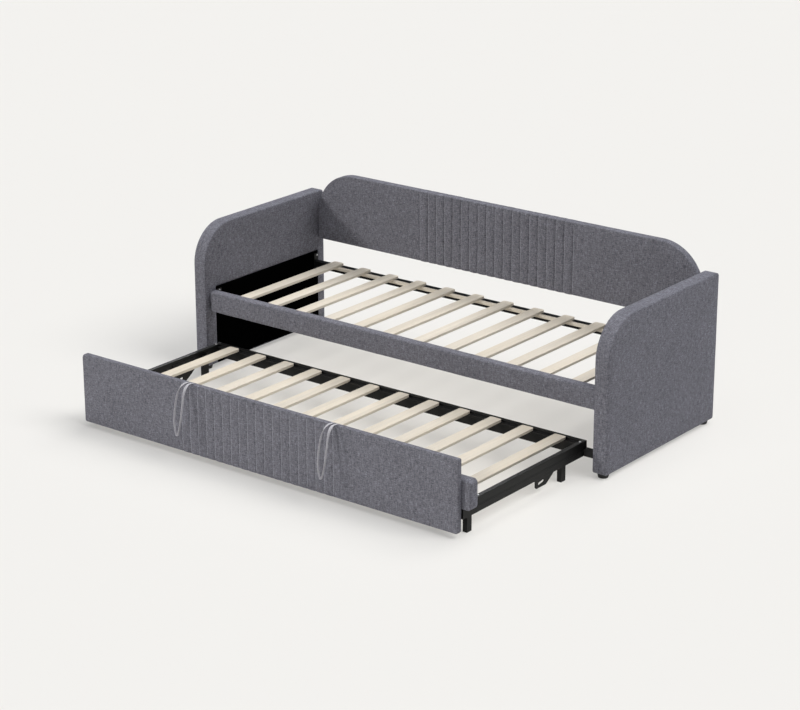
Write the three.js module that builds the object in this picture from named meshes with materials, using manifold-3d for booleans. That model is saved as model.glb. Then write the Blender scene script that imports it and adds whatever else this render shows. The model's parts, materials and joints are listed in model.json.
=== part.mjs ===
// Upholstered daybed with a pull-out trundle, drawn with the trundle pulled out.
// Millimetres, +Z up, +X along the bed to the right as seen from the front, +Y to the back.
// Until the last lines Y = 0 is the plane of the arm fronts and the floor is at FLOOR; the
// finished group is then moved so that its origin is the bottom centre of its box.
import * as THREE from 'three';
import { mergeVertices } from 'three/addons/utils/BufferGeometryUtils.js';
import Module from 'manifold-3d';

const wasm = await Module();
wasm.setup();

// ---------------------------------------------------------------- driving dimensions
const GAP = 0.3;                 // air between pieces that touch on the real bed

// arms: padded slabs that carry the whole daybed
const LENGTH = 2137;             // over both arms
const ARM_T = 63.5;
const ARM_DEPTH = 799;
const ARM_TOP = 642;
const ARM_R = 168;               // large round of the front top corner
const ARM_EDGE = 9;              // padded edge round
const FLOOR = -3.5;
const FOOT_H = 17;               // top of the feet
const FOOT_R = 25;
const FOOT_Y = [31, 768];
const INNER = LENGTH / 2 - ARM_T; // half the clear width between the arms

// black lining let into the inner face of each arm
const LINER_Y = [65, 756];
const LINER_TOP = 368;
const LINER_POCKET = 3;
const LINER_T = 2.4;

// back panel
const BACK_Y = [760, 799];
const BACK_Z = [423.5, 742.5];
const BACK_R = 200;

// daybed rails and deck
const FRAIL_Y = [21, 64];
const FRAIL_Z = [265, 355.5];
const RRAIL_Y = [726, 756];
const RRAIL_Z = [292, 322];
const TUBE_WALL = 2;
const CLEAT_Z = [311, 322.3];
const CLEAT_W = 19.5;
const CLEAT_X = [-908, 888];
const SLAT_T = 11;
const DECK_SLATS = 12;
const DECK_PITCH = 157.3;
const DECK_SHIFT = -10;
const DECK_SLAT_W = 54.4;
const BRACKET_Z = [286, 355];
const BRACKET_T = 3;

// trundle
const PANEL_HALF = 954.2;
const PANEL_Y = [-806, -783];
const PANEL_Z = [17.3, 313];
const PANEL_R = [8, 14, 8, 20];  // low left, low right, top right, top left
const PAD_X = [-966, 992];       // padded front rail behind the panel
const PAD_Y = [-782.7, -733];
const PAD_Z = [110, 228];
const FRAME_HALF = 960;          // outside of the side rails
const FRAME_Y = [-732.7, 27];
const FRAME_Z = [72.5, 132.5];
const RAIL_T = 20;
const LEDGE = 18;                // inward flange that the slats rest on
const LEDGE_Z = [121.2, 124.2];
const TR_SLATS = 12;
const TR_PITCH = 154.6;
const TR_SLAT_W = 55;
const TR_SLAT_TOP = 135.5;
const LEG = [20, 29];            // section of the legs along X and Y
const LEG_Y = [[-730, -701], [-117, -88]];
const GUIDE_X = [960.3, 1001];
const GUIDE_Z = [72, 104];

// pull loops of flat webbing, sewn to the top edge of the trundle's front panel
const LOOP_X = [-361, 372];
const LOOP_W = 10;
const LOOP_T = 2.4;
const LOOP_PROFILE = [           // side view of the loop, Y and Z
  [-808.6, 316.6], [-822, 317.2], [-836, 312.5], [-849, 301.5], [-858.5, 283], [-865, 262],
  [-872, 231], [-878, 199], [-882, 172], [-884, 150.5], [-885.3, 132], [-885.6, 119]];
const LOOP_SPREAD = [            // half the distance between the two strands, at the same stations
  10, 10.5, 12, 14, 15.8, 17, 18, 17.6, 15.6, 12, 7.2, 2.6];

// ---------------------------------------------------------------- finishes
const finish = {
  fabric: { color: 0x68676d, roughness: 0.95, metalness: 0 },
  steel: { color: 0x1d1d1b, roughness: 0.5, metalness: 0.2 },
  wood: { color: 0xe0d8c8, roughness: 0.65, metalness: 0 },
  liner: { color: 0x050505, roughness: 0.95, metalness: 0 },
  plastic: { color: 0x111111, roughness: 0.6, metalness: 0 },
  webbing: { color: 0x77767c, roughness: 0.95, metalness: 0 },
};
const bed = new THREE.Group();
const daybed = new THREE.Group();
const trundle = new THREE.Group();
bed.add(daybed, trundle);

function add(group, name, geometry, kind) {
  const mesh = new THREE.Mesh(geometry, new THREE.MeshStandardMaterial(finish[kind]));
  mesh.name = name;
  group.add(mesh);
  return mesh;
}

// ---------------------------------------------------------------- shape helpers
// outline with four corner radii: low left, low right, top right, top left
function outline(x0, y0, x1, y1, r = [0, 0, 0, 0], seg = 4) {
  const pts = [];
  const corner = (cx, cy, rad, a0) => {
    if (rad < 0.01) { pts.push(new THREE.Vector2(cx, cy)); return; }
    const n = rad > 60 ? 16 : seg;
    for (let i = 0; i <= n; i++) {
      const a = a0 + (i / n) * Math.PI / 2;
      pts.push(new THREE.Vector2(cx + rad * Math.cos(a), cy + rad * Math.sin(a)));
    }
  };
  corner(x0 + r[0], y0 + r[0], r[0], Math.PI);
  corner(x1 - r[1], y0 + r[1], r[1], 1.5 * Math.PI);
  corner(x1 - r[2], y1 - r[2], r[2], 0);
  corner(x0 + r[3], y1 - r[3], r[3], 0.5 * Math.PI);
  return pts;
}

const V = (x, y, z) => new THREE.Vector3(x, y, z);
const ALONG = {
  X: new THREE.Matrix4().makeBasis(V(0, 1, 0), V(0, 0, 1), V(1, 0, 0)), // outline in Y and Z
  Y: new THREE.Matrix4().makeBasis(V(1, 0, 0), V(0, 0, 1), V(0, -1, 0)), // outline in X and Z
  Z: new THREE.Matrix4(),                                               // outline in X and Y
};

// extrude an outline along an axis from low to high, with rounded rims of radius rim
function extrude(axis, points, low, high, rim = 0, holes = []) {
  const shape = new THREE.Shape(points);
  for (const hole of holes) shape.holes.push(new THREE.Path(hole));
  const geometry = new THREE.ExtrudeGeometry(shape, {
    depth: high - low - 2 * rim,
    bevelEnabled: rim > 0,
    bevelThickness: rim,
    bevelSize: rim,
    bevelOffset: -rim,
    bevelSegments: 3,
    steps: 1,
  });
  geometry.applyMatrix4(ALONG[axis]);
  if (axis === 'X') geometry.translate(low + rim, 0, 0);
  if (axis === 'Y') geometry.translate(0, high - rim, 0);
  if (axis === 'Z') geometry.translate(0, 0, low + rim);
  return geometry;
}

function box(x0, x1, y0, y1, z0, z1) {
  const geometry = new THREE.BoxGeometry(x1 - x0, y1 - y0, z1 - z0);
  geometry.translate((x0 + x1) / 2, (y0 + y1) / 2, (z0 + z1) / 2);
  return geometry;
}

function solid(geometry) {
  const g = geometry.clone();
  g.deleteAttribute('normal');
  g.deleteAttribute('uv');
  const m = mergeVertices(g, 1e-3);
  return new wasm.Manifold(new wasm.Mesh({
    numProp: 3,
    vertProperties: new Float32Array(m.attributes.position.array),
    triVerts: new Uint32Array(m.index.array),
  }));
}

function fromSolid(manifold) {
  const mesh = manifold.getMesh();
  const g = new THREE.BufferGeometry();
  const pos = new Float32Array(mesh.numVert * 3);
  for (let i = 0; i < mesh.numVert; i++) {
    for (let k = 0; k < 3; k++) pos[3 * i + k] = mesh.vertProperties[i * mesh.numProp + k];
  }
  g.setAttribute('position', new THREE.BufferAttribute(pos, 3));
  g.setIndex(new THREE.BufferAttribute(new Uint32Array(mesh.triVerts), 1));
  g.computeVertexNormals();
  return g;
}
const cut = (a, b) => fromSolid(solid(a).subtract(solid(b)));
const join = (a, b) => fromSolid(solid(a).add(solid(b)));

// mirror a geometry across the plane X = 0
function mirrorX(geometry) {
  const g = geometry.index ? geometry.toNonIndexed() : geometry.clone();
  const p = g.attributes.position;
  for (let t = 0; t < p.count; t += 3) {
    const a = [0, 1, 2].map((k) => [p.getX(t + k), p.getY(t + k), p.getZ(t + k)]);
    [a[0], a[2], a[1]].forEach((q, k) => p.setXYZ(t + k, -q[0], q[1], q[2]));
  }
  g.computeVertexNormals();
  return g;
}
function pair(group, name, geometry, kind) {
  add(group, `${name}_right`, geometry, kind);
  add(group, `${name}_left`, mirrorX(geometry), kind);
}

// ---------------------------------------------------------------- daybed
// arm: padded slab with one large round at the front top, a shallow pocket for the lining
const armOutline = outline(0, FOOT_H + GAP, ARM_DEPTH, ARM_TOP, [12, 12, 10, ARM_R]);
const armSlab = extrude('X', armOutline, INNER, LENGTH / 2, ARM_EDGE);
const pocket = box(INNER - 5, INNER + LINER_POCKET, LINER_Y[0], LINER_Y[1], 5, LINER_TOP);
pair(daybed, 'arm', cut(armSlab, pocket), 'fabric');
pair(daybed, 'arm_liner', box(INNER + LINER_POCKET - GAP - LINER_T, INNER + LINER_POCKET - GAP,
  LINER_Y[0] + GAP, LINER_Y[1] - GAP, FOOT_H + GAP, LINER_TOP - GAP), 'liner');

// glide feet
for (const [i, where] of ['front', 'rear'].entries()) {
  const foot = new THREE.CylinderGeometry(FOOT_R, FOOT_R - 5, FOOT_H - FLOOR, 32);
  foot.rotateX(Math.PI / 2);
  foot.translate(INNER + ARM_T / 2, FOOT_Y[i], (FOOT_H + FLOOR) / 2);
  pair(daybed, `glide_foot_${where}`, foot, 'plastic');
}

// back panel between the arms
add(daybed, 'back_panel', extrude('Y',
  outline(-INNER + 0.4, BACK_Z[0], INNER - 0.4, BACK_Z[1], [10, 10, BACK_R, BACK_R]),
  BACK_Y[0], BACK_Y[1], 9), 'fabric');

// padded front rail
add(daybed, 'front_rail', extrude('X',
  outline(FRAIL_Y[0], FRAIL_Z[0], FRAIL_Y[1], FRAIL_Z[1], [9, 9, 9, 9]),
  -INNER + 0.4, INNER - 0.4, 5), 'fabric');

// steel rear rail, an open square tube
const rect = (y0, y1, z0, z1) => outline(y0, z0, y1, z1);
add(daybed, 'rear_rail', extrude('X', rect(...RRAIL_Y, ...RRAIL_Z), -INNER + 3.4, INNER - 3.4, 0,
  [rect(RRAIL_Y[0] + TUBE_WALL, RRAIL_Y[1] - TUBE_WALL, RRAIL_Z[0] + TUBE_WALL, RRAIL_Z[1] - TUBE_WALL)]), 'steel');

// brackets that bolt the rails to the arms
const bx = INNER - 0.1;
const angle = [[bx - 31, FRAIL_Y[1] + 0.4], [bx, FRAIL_Y[1] + 0.4], [bx, 98], [bx - BRACKET_T, 98],
  [bx - BRACKET_T, FRAIL_Y[1] + 0.4 + BRACKET_T], [bx - 31, FRAIL_Y[1] + 0.4 + BRACKET_T]]
  .map(([x, y]) => new THREE.Vector2(x, y));
pair(daybed, 'front_rail_bracket', extrude('Z', angle, ...BRACKET_Z), 'steel');
pair(daybed, 'rear_rail_bracket', box(bx - BRACKET_T, bx, 728, 754, ...BRACKET_Z), 'steel');

// wooden cleats and the flat slats
add(daybed, 'slat_cleat_front', box(...CLEAT_X, FRAIL_Y[1] + 0.4, FRAIL_Y[1] + 0.4 + CLEAT_W, ...CLEAT_Z), 'wood');
add(daybed, 'slat_cleat_rear', box(...CLEAT_X, RRAIL_Y[0] - GAP - CLEAT_W, RRAIL_Y[0] - GAP, ...CLEAT_Z), 'wood');
function slat(group, name, x, w, y0, y1, top) {
  add(group, name, extrude('Z', outline(x - w / 2, y0, x + w / 2, y1, [9, 9, 9, 9]), top - SLAT_T, top), 'wood');
}
for (let i = 0; i < DECK_SLATS; i++) {
  slat(daybed, `deck_slat_${String(i + 1).padStart(2, '0')}`,
    DECK_SHIFT + (i - (DECK_SLATS - 1) / 2) * DECK_PITCH, DECK_SLAT_W,
    FRAIL_Y[1] + 1, RRAIL_Y[1] - 2, CLEAT_Z[1] + GAP + SLAT_T);
}

// ---------------------------------------------------------------- trundle
add(trundle, 'trundle_front_panel', extrude('Y',
  outline(-PANEL_HALF, PANEL_Z[0], PANEL_HALF, PANEL_Z[1], PANEL_R, 5),
  PANEL_Y[0], PANEL_Y[1], 6), 'fabric');
add(trundle, 'trundle_padded_rail', extrude('Y',
  outline(PAD_X[0], PAD_Z[0], PAD_X[1], PAD_Z[1], [16, 16, 16, 16]),
  PAD_Y[0], PAD_Y[1], 9), 'fabric');

// steel frame: side rails, and cross rails with a ledge for the slats
const sideRing = outline(FRAME_HALF - RAIL_T, FRAME_Z[0], FRAME_HALF, FRAME_Z[1]);
const sideBore = outline(FRAME_HALF - RAIL_T + TUBE_WALL, FRAME_Z[0] + TUBE_WALL, FRAME_HALF - TUBE_WALL, FRAME_Z[1] - TUBE_WALL);
pair(trundle, 'trundle_side_rail', extrude('Y', sideRing, ...FRAME_Y, 0, [sideBore]), 'steel');

function crossRail(outer, dir, half) {
  // outer: Y of the outside face; dir: +1 when the slats are towards +Y
  const inner = outer + dir * RAIL_T;
  const pts = [[outer, FRAME_Z[0]], [outer, FRAME_Z[1]], [inner, FRAME_Z[1]], [inner, LEDGE_Z[1]],
    [inner + dir * LEDGE, LEDGE_Z[1]], [inner + dir * LEDGE, LEDGE_Z[0]], [inner, LEDGE_Z[0]], [inner, FRAME_Z[0]]]
    .map(([y, z]) => new THREE.Vector2(y, z));
  const lo = Math.min(outer, inner) + TUBE_WALL;
  const hi = Math.max(outer, inner) - TUBE_WALL;
  return extrude('X', pts, -half, half, 0, [rect(lo, hi, FRAME_Z[0] + TUBE_WALL, FRAME_Z[1] - TUBE_WALL)]);
}
add(trundle, 'trundle_rear_cross_rail', crossRail(FRAME_Y[1], -1, FRAME_HALF - RAIL_T - GAP), 'steel');
add(trundle, 'trundle_front_cross_rail', crossRail(FRAME_Y[0], 1, FRAME_HALF - RAIL_T - GAP - LEG[0] - 1.3), 'steel');

for (let i = 0; i < TR_SLATS; i++) {
  slat(trundle, `trundle_slat_${String(i + 1).padStart(2, '0')}`,
    (i - (TR_SLATS - 1) / 2) * TR_PITCH, TR_SLAT_W,
    FRAME_Y[0] + RAIL_T + 0.7, FRAME_Y[1] - RAIL_T - 0.6, TR_SLAT_TOP);
}

// legs: square tubes with a closed foot and, at the rear, a welded fixing plate
const legX = [FRAME_HALF - RAIL_T - GAP - LEG[0], FRAME_HALF - RAIL_T - GAP];
for (const [i, where] of ['front', 'rear'].entries()) {
  const top = i === 0 ? 130 : 118;
  const [y0, y1] = LEG_Y[i];
  let leg = cut(box(...legX, y0, y1, FLOOR, top),
    box(legX[0] + 1.8, legX[1] - 1.8, y0 + 1.8, y1 - 1.8, 5, top + 5));
  if (i === 1) leg = join(leg, box(legX[1] - 3, legX[1], y1 - 1, y1 + 33, 66, top));
  pair(trundle, `trundle_leg_${where}`, leg, 'steel');
}

// slotted hook plate that hangs inside each side rail, ahead of the rear leg
const hook = [[-294, 118], [-291, 31], [-284, 24], [-221, 24], [-211.5, 29.5], [-176.5, 52.5],
  [-160, 66], [-150, 74], [-150, 118]].map(([y, z]) => new THREE.Vector2(y, z));
const slotHole = [];
for (const [cy, cz, a0] of [[-239, 44.5, -90], [-267, 40.5, 90]]) {
  for (let i = 0; i <= 6; i++) {
    const a = (a0 + i * 30 + 8) * Math.PI / 180;
    slotHole.push(new THREE.Vector2(cy + 6 * Math.cos(a), cz + 6 * Math.sin(a)));
  }
}
pair(trundle, 'slotted_bracket', extrude('X', hook, legX[1] - 4, legX[1], 0, [slotHole]), 'steel');

// short tube that carries each side rail on under the padded rail, up to the front panel
const stub = outline(FRAME_HALF - RAIL_T, FRAME_Z[0], FRAME_HALF, PAD_Z[0] - GAP);
const stubBore = outline(FRAME_HALF - RAIL_T + TUBE_WALL, FRAME_Z[0] + TUBE_WALL, FRAME_HALF - TUBE_WALL, PAD_Z[0] - GAP - TUBE_WALL);
pair(trundle, 'panel_bracket', extrude('Y', stub, PANEL_Y[1] + 0.4, FRAME_Y[0] - GAP, 0, [stubBore]), 'steel');

// guide blocks that keep the rear corners off the arms
pair(trundle, 'guide_block', box(...GUIDE_X, FRAME_Y[1] - 20, FRAME_Y[1], ...GUIDE_Z), 'plastic');

// pull loops: one flat ribbon down the left strand, round the tip and up the right one.
// It lies flat where it leaves the panel and turns on edge as it hangs.
function ribbonLoop(cx) {
  const side = new THREE.CatmullRomCurve3(LOOP_PROFILE.map(([y, z], i) => V(LOOP_SPREAD[i], y, z)), false, 'centripetal');
  const n = 26;
  const stations = [];
  for (let i = 0; i <= n; i++) stations.push({ s: i / n, left: true });
  for (let i = n; i >= 0; i--) stations.push({ s: i / n, left: false });
  const rings = stations.map(({ s, left }, k) => {
    const p = side.getPointAt(s);
    const t = side.getTangentAt(s);
    const q = side.getPointAt(Math.min(1, s + 0.01));
    const o = side.getPointAt(Math.max(0, s - 0.01));
    const down = V(0, q.y - o.y, q.z - o.z).normalize();   // run of the loop in side view
    const out = V(0, down.z, -down.y).normalize();          // square to it, away from the panel
    if (out.y > 0) out.negate();
    const sx = left ? -1 : 1;
    const flat = V(1, 0, 0);
    const turn = THREE.MathUtils.smoothstep(s, 0.02, 0.34);
    const w = flat.clone().multiplyScalar(1 - turn).add(out.clone().multiplyScalar(-sx * turn)).normalize();
    const run = V(sx * t.x, t.y, t.z).multiplyScalar(left ? 1 : -1).normalize();
    const tip = k === n || k === n + 1;
    const travel = tip ? V(1, 0, 0).multiplyScalar(0.8).add(run.clone().multiplyScalar(0.2)).normalize() : run;
    const width = left ? w : w.clone();
    const thick = V(0, 0, 0).crossVectors(travel, width).normalize();
    const wide = V(0, 0, 0).crossVectors(thick, travel).normalize();
    const c = V(cx + sx * p.x, p.y, p.z);
    return { c, wide, thick, left };
  });
  // keep the width vector from flipping along the ribbon
  for (let k = 1; k < rings.length; k++) {
    if (rings[k].wide.dot(rings[k - 1].wide) < 0) { rings[k].wide.negate(); rings[k].thick.negate(); }
  }
  const pos = [];
  const idx = [];
  for (const r of rings) {
    for (const [a, b] of [[-1, -1], [1, -1], [1, 1], [-1, 1]]) {
      const v = r.c.clone().addScaledVector(r.wide, a * LOOP_W / 2).addScaledVector(r.thick, b * LOOP_T / 2);
      pos.push(v.x, v.y, v.z);
    }
  }
  const last = rings.length - 1;
  for (let k = 0; k < last; k++) {
    for (let j = 0; j < 4; j++) {
      const a = 4 * k + j;
      const b = 4 * k + (j + 1) % 4;
      idx.push(a, b, b + 4, a, b + 4, a + 4);
    }
  }
  idx.push(0, 3, 2, 0, 2, 1);
  idx.push(4 * last, 4 * last + 1, 4 * last + 2, 4 * last, 4 * last + 2, 4 * last + 3);
  const g = new THREE.BufferGeometry();
  g.setAttribute('position', new THREE.BufferAttribute(new Float32Array(pos), 3));
  g.setIndex(idx);
  // turn the faces outwards if the sweep came out inside out
  let volume = 0;
  const p = g.attributes.position;
  for (let t = 0; t < idx.length; t += 3) {
    const [a, b, c] = [0, 1, 2].map((k) => V(0, 0, 0).fromBufferAttribute(p, idx[t + k]));
    volume += a.dot(b.cross(c)) / 6;
  }
  if (volume < 0) {
    for (let t = 0; t < idx.length; t += 3) [idx[t + 1], idx[t + 2]] = [idx[t + 2], idx[t + 1]];
    g.setIndex(idx);
  }
  g.computeVertexNormals();
  return g;
}
add(trundle, 'pull_loop_left', ribbonLoop(LOOP_X[0]), 'webbing');
add(trundle, 'pull_loop_right', ribbonLoop(LOOP_X[1]), 'webbing');

// ---------------------------------------------------------------- origin at the bottom centre of the box
bed.updateMatrixWorld(true);
const bounds = new THREE.Box3().setFromObject(bed, true);
bed.position.set(-(bounds.min.x + bounds.max.x) / 2, -(bounds.min.y + bounds.max.y) / 2, -bounds.min.z);
bed.updateMatrixWorld(true);

export default bed;
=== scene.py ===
"""Trundle bed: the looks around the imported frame. Metres, +Z up, +X to the right, +Y to the back."""

import json
import math

import bpy
import numpy as np
from mathutils import Matrix, Vector

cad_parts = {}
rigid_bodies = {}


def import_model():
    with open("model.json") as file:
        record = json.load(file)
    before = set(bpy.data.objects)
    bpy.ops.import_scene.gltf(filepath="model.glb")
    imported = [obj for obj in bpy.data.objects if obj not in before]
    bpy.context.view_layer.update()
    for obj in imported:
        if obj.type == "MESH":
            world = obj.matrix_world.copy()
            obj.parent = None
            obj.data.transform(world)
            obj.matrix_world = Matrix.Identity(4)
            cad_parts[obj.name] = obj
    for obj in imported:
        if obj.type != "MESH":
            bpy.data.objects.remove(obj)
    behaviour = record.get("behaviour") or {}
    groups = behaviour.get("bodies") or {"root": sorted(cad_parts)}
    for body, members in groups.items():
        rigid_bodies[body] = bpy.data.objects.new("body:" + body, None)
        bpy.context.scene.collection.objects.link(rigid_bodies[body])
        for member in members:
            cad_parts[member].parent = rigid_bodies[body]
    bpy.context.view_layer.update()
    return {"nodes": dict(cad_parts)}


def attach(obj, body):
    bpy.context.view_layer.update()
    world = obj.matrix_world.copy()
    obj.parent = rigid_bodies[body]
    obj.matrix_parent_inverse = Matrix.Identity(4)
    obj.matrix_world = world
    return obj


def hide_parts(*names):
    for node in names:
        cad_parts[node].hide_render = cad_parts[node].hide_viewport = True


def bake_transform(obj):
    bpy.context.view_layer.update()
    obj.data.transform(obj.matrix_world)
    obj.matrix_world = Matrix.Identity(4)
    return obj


for left_over in list(bpy.data.objects):
    bpy.data.objects.remove(left_over)

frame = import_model()
nodes = frame["nodes"]
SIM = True

S = 0.0458108  # from the arm fronts' plane to the row's origin, along Y
ZS = 0.0035  # the floor lies this far below the design's Z = 0


# ---------------------------------------------------------------- node material helpers
class Tree:
    """A material's node tree, with short ways to add maths."""

    def __init__(self, name):
        self.mat = bpy.data.materials.new(name)
        self.mat.use_nodes = True
        self.t = self.mat.node_tree
        self.t.nodes.clear()
        self.out = self.t.nodes.new("ShaderNodeOutputMaterial")
        self.bsdf = self.t.nodes.new("ShaderNodeBsdfPrincipled")
        self.t.links.new(self.bsdf.outputs[0], self.out.inputs["Surface"])

    def put(self, socket, value):
        if isinstance(value, bpy.types.NodeSocket):
            self.t.links.new(value, socket)
        elif value is not None:
            socket.default_value = value

    def math(self, op, a, b=None, c=None):
        n = self.t.nodes.new("ShaderNodeMath")
        n.operation = op
        for i, v in enumerate((a, b, c)):
            self.put(n.inputs[i], v)
        return n.outputs[0]

    def vmath(self, op, a, b=None):
        n = self.t.nodes.new("ShaderNodeVectorMath")
        n.operation = op
        self.put(n.inputs[0], a)
        self.put(n.inputs[1], b)
        return n.outputs[0]

    def coords(self, kind):
        n = self.t.nodes.new("ShaderNodeTexCoord")
        return n.outputs[kind]

    def attribute(self, name):
        n = self.t.nodes.new("ShaderNodeAttribute")
        n.attribute_name = name
        return n

    def split(self, v):
        n = self.t.nodes.new("ShaderNodeSeparateXYZ")
        self.put(n.inputs[0], v)
        return n.outputs[0], n.outputs[1], n.outputs[2]

    def join(self, x, y, z=0.0):
        n = self.t.nodes.new("ShaderNodeCombineXYZ")
        for i, v in enumerate((x, y, z)):
            self.put(n.inputs[i], v)
        return n.outputs[0]

    def noise(self, vector, scale=1.0, detail=2.0, rough=0.5, distortion=0.0):
        n = self.t.nodes.new("ShaderNodeTexNoise")
        self.put(n.inputs["Vector"], vector)
        self.put(n.inputs["Scale"], scale)
        self.put(n.inputs["Detail"], detail)
        self.put(n.inputs["Roughness"], rough)
        self.put(n.inputs["Distortion"], distortion)
        return n.outputs["Fac"]

    def voronoi(self, vector, scale, feature="F1"):
        n = self.t.nodes.new("ShaderNodeTexVoronoi")
        n.feature = feature
        self.put(n.inputs["Vector"], vector)
        self.put(n.inputs["Scale"], scale)
        return n

    def mix(self, fac, a, b, kind="MIX"):
        n = self.t.nodes.new("ShaderNodeMix")
        n.data_type = "RGBA"
        n.blend_type = kind
        n.clamp_factor = True
        self.put(n.inputs[0], fac)
        self.put(n.inputs[6], a if isinstance(a, bpy.types.NodeSocket) else (*a, 1.0))
        self.put(n.inputs[7], b if isinstance(b, bpy.types.NodeSocket) else (*b, 1.0))
        return n.outputs[2]

    def ramp(self, fac, stops):
        n = self.t.nodes.new("ShaderNodeValToRGB")
        self.put(n.inputs[0], fac)
        e = n.color_ramp.elements
        while len(e) < len(stops):
            e.new(0.5)
        for k, (p, c) in zip(e, stops):
            k.position = p
            k.color = (*c, 1.0) if len(c) == 3 else c
        return n.outputs[0]

    def remap(self, v, a, b, c, d, smooth=False):
        n = self.t.nodes.new("ShaderNodeMapRange")
        if smooth:
            n.interpolation_type = "SMOOTHSTEP"
        for i, x in enumerate((v, a, b, c, d)):
            self.put(n.inputs[i], x)
        return n.outputs[0]

    def bump(self, height, strength=0.5, distance=0.001, normal=None):
        n = self.t.nodes.new("ShaderNodeBump")
        self.put(n.inputs["Strength"], strength)
        self.put(n.inputs["Distance"], distance)
        self.put(n.inputs["Height"], height)
        if normal is not None:
            self.put(n.inputs["Normal"], normal)
        return n.outputs[0]

    def set(self, **values):
        for k, v in values.items():
            self.put(self.bsdf.inputs[k.replace("_", " ")], v)
        return self.mat


def scaled(c, k):
    return tuple(x * k for x in c)


# ---------------------------------------------------------------- materials
def melange(name, base, tone=1.0, pitch=0.00125, sheen=0.12):
    """Plain-woven melange upholstery. Its coordinates are the mesh's own UVs, in metres of cloth."""
    t = Tree(name)
    x, y, _ = t.split(t.attribute("cloth").outputs["Vector"])
    u, v = t.math("DIVIDE", x, pitch), t.math("DIVIDE", y, pitch)
    over = t.math("FLOORED_MODULO", t.math("ADD", t.math("FLOOR", u), t.math("FLOOR", v)), 2.0)
    pu = t.math("ABSOLUTE", t.math("SINE", t.math("MULTIPLY", u, math.pi)))
    pv = t.math("ABSOLUTE", t.math("SINE", t.math("MULTIPLY", v, math.pi)))
    warp = t.math("MULTIPLY", pu, t.math("MULTIPLY_ADD", pv, 0.45, 0.55))
    weft = t.math("MULTIPLY", pv, t.math("MULTIPLY_ADD", pu, 0.45, 0.55))
    height = t.math("ADD", t.math("MULTIPLY", warp, over), t.math("MULTIPLY", weft, t.math("SUBTRACT", 1.0, over)))
    # yarns: every thread has its own tone, with thick and thin stretches along it
    yarn_u = t.noise(t.join(t.math("MULTIPLY", x, 800.0), t.math("MULTIPLY", y, 75.0), 3.1), detail=1.0)
    yarn_v = t.noise(t.join(t.math("MULTIPLY", x, 75.0), t.math("MULTIPLY", y, 800.0), 7.7), detail=1.0)
    slub_u = t.noise(t.join(t.math("MULTIPLY", x, 330.0), t.math("MULTIPLY", y, 52.0), 11.3), detail=2.0)
    slub_v = t.noise(t.join(t.math("MULTIPLY", x, 52.0), t.math("MULTIPLY", y, 330.0), 17.9), detail=2.0)
    fleck = t.noise(t.join(t.math("MULTIPLY", x, 290.0), t.math("MULTIPLY", y, 290.0), 23.0), detail=2.0)
    cloud = t.noise(t.join(x, y, 0.4), scale=9.0, detail=3.0)
    yarn = t.math("ADD", t.math("MULTIPLY", yarn_u, over), t.math("MULTIPLY", yarn_v, t.math("SUBTRACT", 1.0, over)))
    k = t.math("MULTIPLY_ADD", t.math("SUBTRACT", yarn, 0.5), 1.35 * tone, 0.5)
    k = t.math("MULTIPLY_ADD", t.math("SUBTRACT", slub_u, 0.5), 0.95 * tone, k)
    k = t.math("MULTIPLY_ADD", t.math("SUBTRACT", slub_v, 0.5), 0.95 * tone, k)
    k = t.math("MULTIPLY_ADD", t.math("SUBTRACT", fleck, 0.5), 0.80 * tone, k)
    k = t.math("MULTIPLY_ADD", t.math("SUBTRACT", cloud, 0.5), 0.16 * tone, k)
    colour = t.ramp(k, [(0.0, scaled(base, 0.36)), (0.36, scaled(base, 0.82)), (0.62, scaled(base, 1.16)), (1.0, scaled(base, 1.95))])
    # painted shade: the colour is darkened where the weave sits low, in the gaps between the yarns
    weave_shade = t.remap(height, 0.0, 0.45, 0.62, 1.0)
    colour = t.mix(1.0, colour, t.join(weave_shade, weave_shade, weave_shade), "MULTIPLY")
    fuzz = t.noise(t.join(x, y, 1.7), scale=1500.0, detail=3.0)
    relief = t.math("MULTIPLY_ADD", fuzz, 0.35, t.math("MULTIPLY_ADD", slub_u, 0.5, height))
    return t.set(
        Base_Color=colour,
        Roughness=t.remap(k, 0.0, 1.0, 0.98, 0.86),
        Specular_IOR_Level=0.18,
        Sheen_Weight=sheen,
        Sheen_Roughness=0.45,
        Sheen_Tint=(0.80, 0.82, 1.0, 1.0),
        Normal=t.bump(relief, 0.55, 0.00045),
    )


def felt(name):
    t = Tree(name)
    p = t.coords("Object")
    fibre = t.noise(p, scale=900.0, detail=4.0, rough=0.7, distortion=1.2)
    spot = t.voronoi(p, 330.0).outputs["Distance"]
    colour = t.ramp(fibre, [(0.3, (0.0003, 0.0003, 0.0003)), (0.75, (0.0016, 0.0016, 0.0016))])
    return t.set(Base_Color=colour, Roughness=t.remap(fibre, 0.0, 1.0, 1.0, 0.9), Specular_IOR_Level=0.0,
                 Normal=t.bump(t.math("MULTIPLY_ADD", spot, 0.6, fibre), 0.35, 0.0004))


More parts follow.
